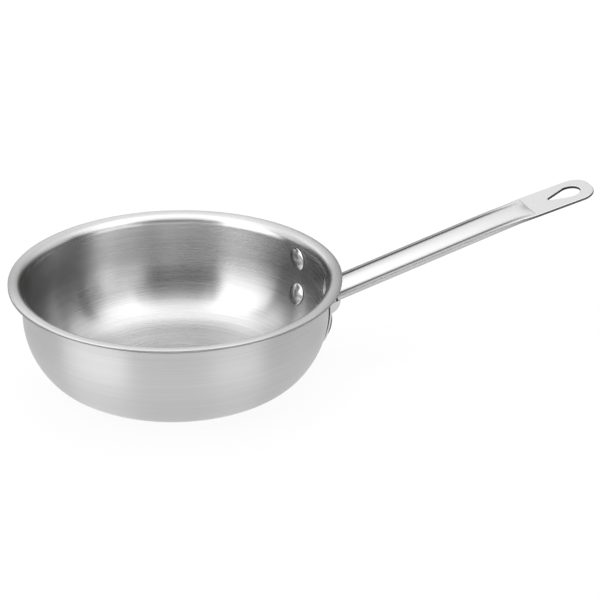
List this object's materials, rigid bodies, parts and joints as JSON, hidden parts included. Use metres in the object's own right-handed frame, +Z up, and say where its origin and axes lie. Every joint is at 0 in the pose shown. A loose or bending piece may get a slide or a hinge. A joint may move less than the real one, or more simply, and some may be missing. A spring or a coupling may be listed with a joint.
{
  "type": "saucier pan",
  "caption": "Saucier pan: a round-sided clad bowl with a flared pouring lip and a riveted sheet handle ending in a hanging hole.",
  "frame": {"origin": "centre of the base's underside, on the bowl's axis", "axes": "+Z up along the bowl's axis, +X along the handle away from the bowl, +Y to the left of the handle seen from its end"},
  "size_m": [0.4115, 0.22, 0.0937],
  "materials": {
    "bowl_steel_inside": "satin, brushed round the axis",
    "bowl_steel_outside": "satin, brushed round the axis",
    "core_aluminium": "cut edge at the lip",
    "bracket_steel": "satin",
    "handle_steel": "satin, brushed lengthwise",
    "rivet_steel": "polished"
  },
  "bodies": {
    "root": {"inner_skin": "bowl_steel_inside", "aluminium_core": "core_aluminium", "outer_skin": "bowl_steel_outside", "handle_bracket": "bracket_steel", "handle": "handle_steel", "rivet_upper_left": "rivet_steel", "rivet_upper_right": "rivet_steel", "rivet_lower_left": "rivet_steel", "rivet_lower_right": "rivet_steel"}
  },
  "joints": []
}
